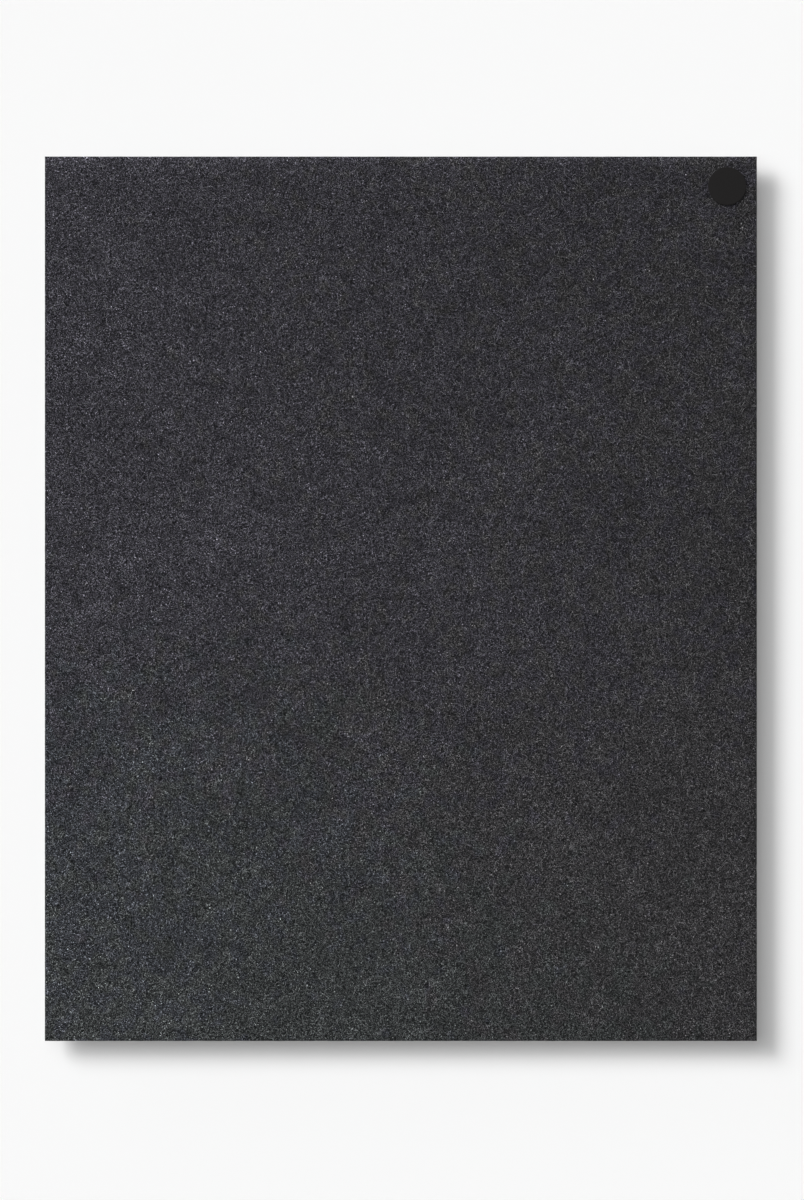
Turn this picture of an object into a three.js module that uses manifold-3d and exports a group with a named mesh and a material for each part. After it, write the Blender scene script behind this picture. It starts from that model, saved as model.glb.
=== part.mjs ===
// Wall-hung felt notice board with a hidden hanging rail and one round magnet.
// Millimetres, +Z up, +X to the right as seen from the front, and the felt faces -Y.
// The origin is on the wall, at the middle of the wall rail's flat back.
import * as THREE from "three";
import { mergeVertices } from "three/addons/utils/BufferGeometryUtils.js";
import Module from "manifold-3d";

const wasm = await Module();
wasm.setup();

// Board face
const boardWidth = 805;
const boardHeight = 1000;

// Bond line or seat between two pieces that lie on each other
const seatGap = 0.3;

// Felt sheet, cut square and laid over everything behind it
const feltDepth = 5;
const feltEdgeRound = 0.7;

// Steel sheet that holds the magnets
const steelDepth = 0.8;
const steelInset = 3;

// Core panel, set back behind the edge of the felt, and the band round it
const coreDepth = 9;
const bandDepth = 1;
const bandInset = 25;

// Mitred battens that stand the panel off the wall
const battenInset = 45;
const battenWidth = 40;
const battenChamfer = 1.5;
const mitreGap = 0.5;

// Wood screws, all with the same countersunk head
const screwHeadRadius = 3.5;
const screwHeadDepth = 2;
const screwShankRadius = 1.75;
const screwTipLength = 2.5;
const screwBiteShare = 0.72;
const battenScrewMargin = 60;
const battenScrewCount = 4;

// Rubber bumpers between the battens and the wall
const bumperRadius = 10;
const bumperDepth = 2;
const bumperEdgeRound = 0.6;
const bumperScrewGap = 25;

// Pair of hooked aluminium rails: one on the wall, one on the panel, lip behind lip
const railWall = 2;
const railWebHeight = 28;
const railFillet = 1.2;
const lipHeight = 10;
const lipLeadInShare = 0.42;
const lipBottomClearance = 2;
const wallPlay = 0.5;
const lipPlay = 0.4;
const hookRoom = 4.4;
const railBelowBatten = 12.7;
const railEndGap = 17.5;
const railShortening = 20;
const railScrewMargin = 25;
const railScrewCount = 5;

// Obround slots that take the wall's own screws
const slotWidth = 8;
const slotLength = 18;
const slotMargin = 40;
const slotCount = 4;

// Round magnet in the top right corner: a plastic cap over a steel pot over the magnetic disc
const magnetRadius = 21.5;
const magnetInset = 33.7;
const capWall = 0.6;
const capCrown = 0.2;
const capEdgeRound = 0.5;
const potWall = 0.5;
const magnetDiscDepth = 1;

// A cut runs this far past the face that it opens.
const overrun = 5;

// Faces round a turned piece, steps in a rounded corner, and how much of an edge one corner may take
const turnedSides = { screw: 14, bumper: 32, magnet: 64 };
const cornerSteps = 4;
const cornerShare = 0.48;

// Depths are distances out from the wall, so a depth is a place along -Y.
// The two hooks and the web behind them set how far the panel stands off.
const wallRailReach = wallPlay + railWall + lipPlay + railWall;
const railSeat = wallRailReach + hookRoom + railWall;
const battenBack = bumperDepth + seatGap;
const battenDepth = railSeat - battenBack;
const coreBack = railSeat + seatGap;
const steelBack = coreBack + coreDepth + seatGap;
const feltBack = steelBack + steelDepth + seatGap;
const feltFront = feltBack + feltDepth;

// The battens' outer rectangle
const frameWidth = boardWidth - 2 * battenInset;
const frameHeight = boardHeight - 2 * battenInset;

// The board's rail lies between the side battens and under the top one, and its shelf on the wall lip.
const boardRailLength = frameWidth - 2 * (battenWidth + railEndGap);
const wallRailLength = boardRailLength - 2 * railShortening;
const wallLipTop = railWebHeight / 2 + lipHeight;
const boardShelf = wallLipTop + seatGap;
const boardTop = boardShelf + railWebHeight + railBelowBatten + battenWidth + battenInset;
const boardMiddle = boardTop - boardHeight / 2;

const finishes = {
  felt: { color: "#373739", roughness: 1, metalness: 0 },
  zincedSteel: { color: "#8d9094", roughness: 0.45, metalness: 1 },
  blackBoard: { color: "#1d1d1e", roughness: 0.7, metalness: 0 },
  blackBand: { color: "#18181a", roughness: 0.5, metalness: 0 },
  pine: { color: "#b89468", roughness: 0.75, metalness: 0 },
  blackScrew: { color: "#2a2a2c", roughness: 0.4, metalness: 0.9 },
  aluminium: { color: "#b9bbbe", roughness: 0.35, metalness: 1 },
  rubber: { color: "#1b1b1b", roughness: 0.85, metalness: 0 },
  magnetPlastic: { color: "#242425", roughness: 0.6, metalness: 0 },
  nickel: { color: "#b5b2aa", roughness: 0.25, metalness: 1 },
};

// A shape drawn in x and y stands up facing the reader, and its depth grows from the wall outwards.
const facing = new THREE.Matrix4().makeBasis(
  new THREE.Vector3(1, 0, 0),
  new THREE.Vector3(0, 0, 1),
  new THREE.Vector3(0, -1, 0),
);

// A section drawn as depth and height runs along the board's width.
const lengthwise = new THREE.Matrix4().makeBasis(
  new THREE.Vector3(0, -1, 0),
  new THREE.Vector3(0, 0, 1),
  new THREE.Vector3(-1, 0, 0),
);

function solidOf(geometry) {
  const bare = geometry.clone();
  bare.deleteAttribute("normal");
  bare.deleteAttribute("uv");
  const merged = mergeVertices(bare);
  return new wasm.Manifold(
    new wasm.Mesh({
      numProp: 3,
      vertProperties: merged.attributes.position.array,
      triVerts: Uint32Array.from(merged.index.array),
    }),
  );
}

function geometryOf(solid) {
  const { vertProperties, triVerts } = solid.getMesh();
  const indexed = new THREE.BufferGeometry();
  indexed.setAttribute("position", new THREE.BufferAttribute(vertProperties, 3));
  indexed.setIndex(new THREE.BufferAttribute(triVerts, 1));
  const flat = indexed.toNonIndexed();
  flat.computeVertexNormals();
  return flat;
}

// What is left of a piece when every cutter has gone through it
function cut(geometry, cutters) {
  return geometryOf(cutters.reduce((left, cutter) => left.subtract(solidOf(cutter)), solidOf(geometry)));
}

function named(name, geometry, finish) {
  const mesh = new THREE.Mesh(geometry, new THREE.MeshStandardMaterial(finish));
  mesh.name = name;
  return mesh;
}

function rectangle(width, height) {
  return new THREE.Shape()
    .moveTo(-width / 2, -height / 2)
    .lineTo(width / 2, -height / 2)
    .lineTo(width / 2, height / 2)
    .lineTo(-width / 2, height / 2);
}

// An outline through corners of the form [x, y, radius]: each corner is rounded by its radius, or by as
// much as the shorter of its two edges leaves.
function roundedOutline(corners) {
  const shape = new THREE.Shape();
  corners.forEach(([x, y, radius], i) => {
    const at = new THREE.Vector2(x, y);
    const before = new THREE.Vector2(...corners.at(i - 1)).sub(at);
    const after = new THREE.Vector2(...corners[(i + 1) % corners.length]).sub(at);
    const round = Math.min(radius, cornerShare * before.length(), cornerShare * after.length());
    const start = before.setLength(round).add(at);
    const end = after.setLength(round).add(at);
    if (i === 0) shape.moveTo(start.x, start.y);
    else shape.lineTo(start.x, start.y);
    if (round > 0) shape.quadraticCurveTo(x, y, end.x, end.y);
  });
  return shape;
}

// A flat sheet that faces the reader, from one depth to another, at the board's middle
function sheet(shape, back, depth) {
  return new THREE.ExtrudeGeometry(shape, { depth, bevelEnabled: false, curveSegments: cornerSteps })
    .applyMatrix4(facing)
    .translate(0, -back, 0);
}

// Evenly spaced places about the middle of a length, the outer ones a margin from its ends
function places(length, margin, count) {
  const span = length - 2 * margin;
  return Array.from({ length: count }, (_, i) => (span * i) / (count - 1) - span / 2);
}

// Felt, with the soft round that a blade leaves along the cut edges
function feltFace() {
  const body = rectangle(boardWidth - 2 * feltEdgeRound, boardHeight - 2 * feltEdgeRound);
  const geometry = new THREE.ExtrudeGeometry(body, {
    depth: feltDepth - 2 * feltEdgeRound,
    bevelEnabled: true,
    bevelThickness: feltEdgeRound,
    bevelSize: feltEdgeRound,
    bevelSegments: cornerSteps,
  });
  geometry.applyMatrix4(facing).translate(0, -(feltBack + feltEdgeRound), boardMiddle);
  return named("felt_face", geometry, finishes.felt);
}

function steelSheet() {
  const shape = rectangle(boardWidth - 2 * steelInset, boardHeight - 2 * steelInset);
  const geometry = sheet(shape, steelBack, steelDepth).translate(0, 0, boardMiddle);
  return named("steel_sheet", geometry, finishes.zincedSteel);
}

// The band covers the panel's four edges: the side bands run the full height, the others fit between.
function edgeBands() {
  const outerWidth = boardWidth - 2 * bandInset;
  const outerHeight = boardHeight - 2 * bandInset;
  const shortLength = outerWidth - 2 * (bandDepth + seatGap);
  const across = (outerWidth - bandDepth) / 2;
  const up = (outerHeight - bandDepth) / 2;
  return [
    ["edge_band_left", bandDepth, outerHeight, -across, 0],
    ["edge_band_right", bandDepth, outerHeight, across, 0],
    ["edge_band_top", shortLength, bandDepth, 0, up],
    ["edge_band_bottom", shortLength, bandDepth, 0, -up],
  ].map(([name, width, height, x, z]) =>
    named(
      name,
      sheet(rectangle(width, height), coreBack, coreDepth).translate(x, 0, boardMiddle + z),
      finishes.blackBand,
    ),
  );
}

// A countersunk wood screw along Y: its flat head is at the given depth and its tip points at the felt.
// Grown by a clearance and run out behind, the same shape cuts the screw's hole.
function screwGeometry({ x, z, depth, length }, clearance = 0, runOut = 0) {
  const head = screwHeadRadius + clearance;
  const shank = screwShankRadius + clearance;
  const profile = [
    [0, -(length + clearance)],
    [shank, -(length - screwTipLength)],
    [shank, -screwHeadDepth],
    [head, 0],
    ...(runOut > 0 ? [[head, runOut]] : []),
    [0, runOut],
  ].map(([r, y]) => new THREE.Vector2(r, y));
  return new THREE.LatheGeometry(profile, turnedSides.screw).translate(x, -depth, z);
}

// The four sides of the batten frame: each is drawn as the top one and turned about the board's middle.
const battenSides = [
  { side: "top", length: frameWidth, out: frameHeight / 2, turn: 0, endGap: mitreGap },
  { side: "right", length: frameHeight, out: frameWidth / 2, turn: Math.PI / 2, endGap: 0 },
  { side: "bottom", length: frameWidth, out: frameHeight / 2, turn: Math.PI, endGap: mitreGap },
  { side: "left", length: frameHeight, out: frameWidth / 2, turn: -Math.PI / 2, endGap: 0 },
];

function turned(x, z, turn) {
  const at = new THREE.Vector3(x, 0, z).applyAxisAngle(new THREE.Vector3(0, 1, 0), turn);
  return { x: at.x, z: at.z + boardMiddle };
}

const battenScrews = battenSides.flatMap(({ side, length, out, turn }) =>
  places(length, battenScrewMargin, battenScrewCount).map((along, i) => ({
    name: `batten_${side}_screw_${i + 1}`,
    ...turned(along, out - battenWidth / 2, turn),
    depth: battenBack,
    length: battenDepth + seatGap + coreDepth * screwBiteShare,
  })),
);

const railScrews = places(boardRailLength, railScrewMargin, railScrewCount).map((x, i) => ({
  name: `board_rail_screw_${i + 1}`,
  x,
  z: boardShelf + railWebHeight / 2,
  depth: railSeat - railWall,
  length: railWall + seatGap + coreDepth * screwBiteShare,
}));

const screws = [...battenScrews, ...railScrews];
const screwHoles = screws.map((screw) => screwGeometry(screw, seatGap, overrun));

function corePanel() {
  const edge = bandInset + bandDepth + seatGap;
  const shape = rectangle(boardWidth - 2 * edge, boardHeight - 2 * edge);
  const panel = sheet(shape, coreBack, coreDepth).translate(0, 0, boardMiddle);
  return named("core_panel", cut(panel, screwHoles), finishes.blackBoard);
}

// A batten's section is chamfered along both back edges, and its ends are cut to 45 degrees.
function batten({ side, length, out, turn, endGap }) {
  const chamfer = battenChamfer;
  const section = new THREE.Shape()
    .moveTo(chamfer, 0)
    .lineTo(battenDepth, 0)
    .lineTo(battenDepth, battenWidth)
    .lineTo(chamfer, battenWidth)
    .lineTo(0, battenWidth - chamfer)
    .lineTo(0, chamfer);
  const bar = new THREE.ExtrudeGeometry(section, { depth: length, bevelEnabled: false })
    .translate(0, 0, -length / 2)
    .applyMatrix4(lengthwise)
    .translate(0, -battenBack, out - battenWidth);
  const outerHalf = length / 2 - endGap;
  const innerHalf = outerHalf - battenWidth;
  // The mitre lines carry on past both edges of the bar.
  const mitres = new THREE.Shape()
    .moveTo(-outerHalf - overrun, out + overrun)
    .lineTo(-innerHalf + overrun, out - battenWidth - overrun)
    .lineTo(innerHalf - overrun, out - battenWidth - overrun)
    .lineTo(outerHalf + overrun, out + overrun);
  const mould = sheet(mitres, battenBack - overrun, battenDepth + 2 * overrun);
  const mitred = geometryOf(solidOf(bar).intersect(solidOf(mould)));
  mitred.rotateY(turn).translate(0, 0, boardMiddle);
  return named(`batten_${side}`, cut(mitred, screwHoles), finishes.pine);
}

function bumpers() {
  const across = (frameWidth - battenWidth) / 2;
  const cornerScrew = frameHeight / 2 - battenScrewMargin;
  const up = cornerScrew - screwHeadRadius - bumperScrewGap - bumperRadius;
  const rim = bumperRadius - bumperEdgeRound;
  const profile = new THREE.Path()
    .moveTo(0, -bumperDepth)
    .lineTo(bumperRadius, -bumperDepth)
    .lineTo(bumperRadius, -bumperEdgeRound)
    .quadraticCurveTo(bumperRadius, 0, rim, 0)
    .lineTo(0, 0)
    .getPoints(cornerSteps);
  return [
    ["bumper_top_left", -across, up],
    ["bumper_top_right", across, up],
    ["bumper_bottom_left", -across, -up],
    ["bumper_bottom_right", across, -up],
  ].map(([name, x, z]) =>
    named(
      name,
      new THREE.LatheGeometry(profile, turnedSides.bumper).translate(x, 0, boardMiddle + z),
      finishes.rubber,
    ),
  );
}

// The stepped section that both rails share: a web that is screwed down, a shelf that reaches out from
// its seat, and a lip that carries on beyond the shelf. It is drawn as depth from the seat and height.
function hookSection(reach, lip) {
  const lipBack = reach - railWall;
  const shelfUnder = railWebHeight - railWall;
  const tip = railWebHeight + lip;
  const leadIn = railWall * lipLeadInShare;
  return roundedOutline([
    [0, 0, 0],
    [railWall, 0, 0],
    [railWall, shelfUnder, railFillet],
    [reach, shelfUnder, railFillet],
    [reach, tip, leadIn],
    [lipBack, tip, leadIn],
    [lipBack, railWebHeight, railFillet],
    [0, railWebHeight, 0],
  ]);
}

function hookRail(length, reach, lip) {
  return new THREE.ExtrudeGeometry(hookSection(reach, lip), {
    depth: length,
    bevelEnabled: false,
    curveSegments: cornerSteps,
  })
    .translate(0, 0, -length / 2)
    .applyMatrix4(lengthwise);
}

function slotGeometry(x) {
  const radius = slotWidth / 2;
  const half = slotLength / 2 - radius;
  const shape = new THREE.Shape()
    .absarc(half, 0, radius, -Math.PI / 2, Math.PI / 2)
    .absarc(-half, 0, radius, Math.PI / 2, (3 * Math.PI) / 2);
  return sheet(shape, -overrun, railWall + 2 * overrun).translate(x, 0, -railWall / 2);
}

// The wall rail's lip points up, with room behind it for the other rail's lip.
function wallRail() {
  const rail = hookRail(wallRailLength, wallRailReach, lipHeight).translate(0, 0, -railWebHeight / 2);
  const slots = places(wallRailLength, slotMargin, slotCount).map(slotGeometry);
  return named("wall_rail", cut(rail, slots), finishes.aluminium);
}

// The board's rail is the same hook turned upside down, and its shelf rests on the wall rail's lip.
function boardRail() {
  const reach = railSeat - wallPlay;
  const lip = lipHeight + seatGap - lipBottomClearance;
  const rail = hookRail(boardRailLength, reach, lip)
    .rotateX(Math.PI)
    .translate(0, -railSeat, boardShelf + railWebHeight);
  return named("board_rail", cut(rail, screwHoles), finishes.aluminium);
}

// A turned shell, closed at its top: the wall is as thick there as round the side.
// Radii and heights are measured from the open rim, which lies on the felt.
function cupProfile({ radius, height, wall, round = 0, crown = 0 }) {
  const profile = new THREE.Path()
    .moveTo(0, height - wall)
    .lineTo(radius - wall, height - wall)
    .lineTo(radius - wall, 0)
    .lineTo(radius, 0)
    .lineTo(radius, height - crown - round);
  if (round > 0) profile.quadraticCurveTo(radius, height - crown, radius - round, height - crown);
  else profile.lineTo(radius, height);
  if (crown > 0) profile.quadraticCurveTo(radius / 2, height, 0, height);
  else profile.lineTo(0, height);
  return profile.getPoints(cornerSteps);
}

function magnet() {
  const pot = {
    radius: magnetRadius - capWall - seatGap,
    height: magnetDiscDepth + seatGap + potWall,
    wall: potWall,
  };
  const cap = {
    radius: magnetRadius,
    height: pot.height + seatGap + capWall,
    wall: capWall,
    round: capEdgeRound,
    crown: capCrown,
  };
  const disc = [
    [0, 0],
    [pot.radius - potWall - seatGap, 0],
    [pot.radius - potWall - seatGap, magnetDiscDepth],
    [0, magnetDiscDepth],
  ].map(([r, y]) => new THREE.Vector2(r, y));
  const group = new THREE.Group();
  group.add(
    ...[
      ["magnet_cap", cupProfile(cap), finishes.magnetPlastic],
      ["magnet_pot", cupProfile(pot), finishes.zincedSteel],
      ["magnet_disc", disc, finishes.nickel],
    ].map(([name, profile, finish]) =>
      named(name, new THREE.LatheGeometry(profile, turnedSides.magnet).rotateX(Math.PI), finish),
    ),
  );
  group.position.set(boardWidth / 2 - magnetInset, -(feltFront + seatGap), boardTop - magnetInset);
  return group;
}

const board = new THREE.Group();
board.add(
  feltFace(),
  steelSheet(),
  corePanel(),
  ...edgeBands(),
  ...battenSides.map(batten),
  ...bumpers(),
  boardRail(),
  ...screws.map((screw) => named(screw.name, screwGeometry(screw), finishes.blackScrew)),
);

const noticeBoard = new THREE.Group();
noticeBoard.add(wallRail(), board, magnet());

export default noticeBoard;
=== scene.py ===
"""Dresses the wall-hung felt notice board for its picture.

Metres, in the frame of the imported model: +Z is up, +X is to the right as seen from the front, the
felt faces -Y and the wall is the plane y = 0.
"""

import logging
import math
from collections.abc import Iterable, Mapping
from dataclasses import dataclass, field
from enum import Enum
from typing import Any

import bpy
import numpy as np
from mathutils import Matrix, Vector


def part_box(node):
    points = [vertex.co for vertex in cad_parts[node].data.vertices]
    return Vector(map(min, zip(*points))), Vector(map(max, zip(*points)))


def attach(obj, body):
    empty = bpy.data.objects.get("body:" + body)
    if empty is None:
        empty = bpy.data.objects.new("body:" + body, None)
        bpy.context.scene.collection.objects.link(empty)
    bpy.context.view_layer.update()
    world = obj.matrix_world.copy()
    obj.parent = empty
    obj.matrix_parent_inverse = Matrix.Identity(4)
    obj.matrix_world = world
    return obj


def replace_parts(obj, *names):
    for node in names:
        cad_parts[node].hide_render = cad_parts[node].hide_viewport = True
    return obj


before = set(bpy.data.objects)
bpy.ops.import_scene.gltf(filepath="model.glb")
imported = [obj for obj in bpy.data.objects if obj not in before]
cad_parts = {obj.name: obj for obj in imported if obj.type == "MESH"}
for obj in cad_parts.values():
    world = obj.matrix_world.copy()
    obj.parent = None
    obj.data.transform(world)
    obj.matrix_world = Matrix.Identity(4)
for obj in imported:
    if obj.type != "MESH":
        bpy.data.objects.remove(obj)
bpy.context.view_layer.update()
LOG = logging.getLogger("felt_board")
MM = 0.001
WHITE = (1.0, 1.0, 1.0, 1.0)
SHIFT_SHARES = (1.0, 0.7, 1.3)  # how a pattern's shift is shared between x, y and z
LATTICE_CELLS = 128  # how many random values a lattice has each way before it repeats

Socket = bpy.types.NodeSocket
Numbers = tuple[float, ...]
Pair = tuple[float, float]
Triple = tuple[float, float, float]
Colour = tuple[float, float, float, float]
Skin = tuple[np.ndarray, list[np.ndarray]]  # points, and faces as arrays of their corners' numbers


# Colour and shader building


def linear(code: str) -> Colour:
    """An sRGB colour such as "#37373a" as the linear red, green, blue and alpha of a shader socket."""
    shares = [int(code[i : i + 2], 16) / 255 for i in (1, 3, 5)]
    return (*[s / 12.92 if s <= 0.04045 else ((s + 0.055) / 1.055) ** 2.4 for s in shares], 1.0)


class Signal:
    """A number that runs through a material; arithmetic on it adds Math nodes."""

    def __init__(self, graph: "Graph", socket: Socket) -> None:
        """Keeps the graph and the socket that the number comes from."""
        self.graph = graph
        self.socket = socket

    def _join(self, operation: str, *values: Any) -> "Signal":
        """The result of one Math node, whose sockets are given the values in order."""
        made = self.graph.node("ShaderNodeMath", {"operation": operation}, dict(enumerate(values)))
        return Signal(self.graph, made.outputs[0])

    def __add__(self, other: Any) -> "Signal":
        """self + other."""
        return self._join("ADD", self, other)

    def __radd__(self, other: Any) -> "Signal":
        """other + self."""
        return self._join("ADD", other, self)

    def __sub__(self, other: Any) -> "Signal":
        """self - other."""
        return self._join("SUBTRACT", self, other)

    def __rsub__(self, other: Any) -> "Signal":
        """other - self."""
        return self._join("SUBTRACT", other, self)

    def __mul__(self, other: Any) -> "Signal":
        """self * other."""
        return self._join("MULTIPLY", self, other)

    def __rmul__(self, other: Any) -> "Signal":
        """other * self."""
        return self._join("MULTIPLY", other, self)

    def exp(self) -> "Signal":
        """e to the power of self."""
        return self._join("EXPONENT", self)

    def fraction(self) -> "Signal":
        """What is left of self above the whole number below it."""
        return self._join("FRACT", self)

    def step(self, low: float, high: float) -> "Signal":
        """Turns self into a share, with a soft S between the two ends.

        Args:
            low: where the share is 0, and below it.
            high: where the share is 1, and above it.

        Returns:
            The share.
        """
        settings = {"interpolation_type": "SMOOTHSTEP"}
        sockets = {"Value": self, "From Min": low, "From Max": high}
        return Signal(self.graph, self.graph.node("ShaderNodeMapRange", settings, sockets).outputs[0])


def weighed(weights: Iterable[float], signals: Iterable[Signal], rest: float = 0.0) -> Signal:
    """The sum of the signals, each times its own weight where that isn't zero, and of the rest."""
    return sum((weight * signal for weight, signal in zip(weights, signals) if weight), rest)


@dataclass(frozen=True)
class Pattern:
    """A noise in a finish: how it is laid out, and how much it changes the finish's other values.

    The size of its lumps is in millimetres, one for all or one each for x, y and z. Its detail is a
    number of finer layers, its turn is about Y in radians and its shift is in lumps. The last three are
    the weights with which it is added.
    """

    size: float | Triple
    detail: float = 0.0
    turn: float = 0.0
    shift: float = 0.0
    colour: float = 0.0
    roughness: float = 0.0
    relief: float = 0.0


class Graph:
    """The node tree of one material or world."""

    def __init__(self, owner: bpy.types.Material | bpy.types.World) -> None:
        """Empties the owner's tree and keeps it.

        Args:
            owner: the material or world that the tree belongs to.
        """
        owner.use_nodes = True
        self.tree = owner.node_tree
        self.tree.nodes.clear()

    def node(
        self,
        kind: str,
        settings: Mapping[str, Any] | None = None,
        sockets: Mapping[int | str, Any] | None = None,
    ) -> bpy.types.Node:
        """Adds one node.

        Args:
            kind: the node's type.
            settings: its properties, which are set before its sockets.
            sockets: values, sockets or signals for its inputs, by place, name or identifier.

        Returns:
            The new node.
        """
        made = self.tree.nodes.new(kind)
        for key, value in (settings or {}).items():
            setattr(made, key, value)
        by_identifier = {socket.identifier: socket for socket in made.inputs}
        for key, value in (sockets or {}).items():
            socket = by_identifier[key] if key in by_identifier else made.inputs[key]
            if isinstance(value, Signal):
                value = value.socket
            if isinstance(value, Socket):
                self.tree.links.new(value, socket)
            else:
                socket.default_value = value
        return made

    def millimetres(self) -> Socket:
        """Object coordinates in millimetres."""
        place = self.node("ShaderNodeTexCoord").outputs["Object"]
        return self.scaled(place, 1 / MM)

    def stretched(self, place: Socket, size: Triple, turn: float, shift: float) -> Socket:
        """Coordinates in which a feature of the given size measures one unit.

        Args:
            place: coordinates in millimetres.
            size: the feature's size along x, y and z, in millimetres.
            turn: how far the pattern is turned about Y, in radians.
            shift: how far the pattern is moved, in features.

        Returns:
            The new coordinates.
        """
        sockets = {"Vector": place, "Angle": turn}
        turned = self.node("ShaderNodeVectorRotate", {"rotation_type": "Y_AXIS"}, sockets)
        sockets = {
            "Vector": turned.outputs[0],
            "Scale": tuple(1 / side for side in size),
            "Location": tuple(shift * share for share in SHIFT_SHARES),
        }
        return self.node("ShaderNodeMapping", {}, sockets).outputs[0]

    def noise(self, place: Socket, pattern: Pattern) -> Signal:
        """Smooth noise about zero.

        Args:
            place: coordinates in millimetres.
            pattern: how the noise is laid over them.

        Returns:
            The noise.
        """
        size = pattern.size if isinstance(pattern.size, tuple) else (pattern.size,) * 3
        laid = self.stretched(place, size, pattern.turn, pattern.shift)
        sockets = {"Vector": laid, "Scale": 1.0, "Detail": pattern.detail}
        return Signal(self, self.node("ShaderNodeTexNoise", {}, sockets).outputs["Fac"]) - 0.5

    def warped(self, place: Socket, swirl: Pair) -> Socket:
        """Coordinates pushed about by noise.

        Args:
            place: the coordinates.
            swirl: how large the swirls are, and how far a point may move.

        Returns:
            The pushed coordinates.
        """
        size, reach = swirl
        noise = self.node("ShaderNodeTexNoise", {}, {"Vector": place, "Scale": 1 / size, "Detail": 1.0})
        centred = self.vector_maths("SUBTRACT", noise.outputs["Color"], (0.5, 0.5, 0.5))
        return self.vector_maths("MULTIPLY_ADD", centred, (reach,) * 3, place)

    def vector_maths(self, operation: str, *values: Any) -> Socket:
        """The vector that one operation makes of its values, given in the order of the node's inputs."""
        made = self.node("ShaderNodeVectorMath", {"operation": operation}, dict(enumerate(values)))
        return made.outputs[0]

    def blend(self, share: Any, first: Any, second: Any) -> Socket:
        """Mixes two colours.

        Args:
            share: 0 gives the first and 1 the second.
            first: a colour or its socket.
            second: the same.

        Returns:
            The mixed colour's socket.
        """
        sockets = {"Factor_Float": share, "A_Color": first, "B_Color": second}
        made = self.node("ShaderNodeMix", {"data_type": "RGBA"}, sockets)
        return next(out for out in made.outputs if out.identifier == "Result_Color")

    def scaled(self, vector: Any, level: Any) -> Socket:
        """A vector or colour, from a socket or as numbers, times a level."""
        sockets = {0: vector[:3] if isinstance(vector, tuple) else vector, "Scale": level}
        return self.node("ShaderNodeVectorMath", {"operation": "SCALE"}, sockets).outputs[0]

    def relief(self, height: Any, depth: float) -> Socket:
        """The normal of a surface whose height signal stands for the given depth in metres."""
        sockets = {"Height": height, "Distance": depth, "Strength": 1.0}
        return self.node("ShaderNodeBump", {}, sockets).outputs[0]


def new_graph(name: str) -> tuple[bpy.types.Material, Graph]:
    """A new material of that name and its empty graph."""
    material = bpy.data.materials.new(name)
    return material, Graph(material)


# Finishes


class Finish:
    """A finish: its name, and what the sockets of its shader are given."""

    name: str

    def sockets(self, graph: Graph) -> dict[str, Any]:
        """Works out the shader's sockets in the material's graph; each finish has its own way."""
        raise NotImplementedError

    def material(self) -> bpy.types.Material:
        """Makes the material.

        Returns:
            The new material, which ends in a Principled BSDF.
        """
        material, graph = new_graph(self.name)
        shader = graph.node("ShaderNodeBsdfPrincipled", {}, self.sockets(graph))
        graph.node("ShaderNodeOutputMaterial", {}, {"Surface": shader.outputs[0]})
        return material


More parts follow.
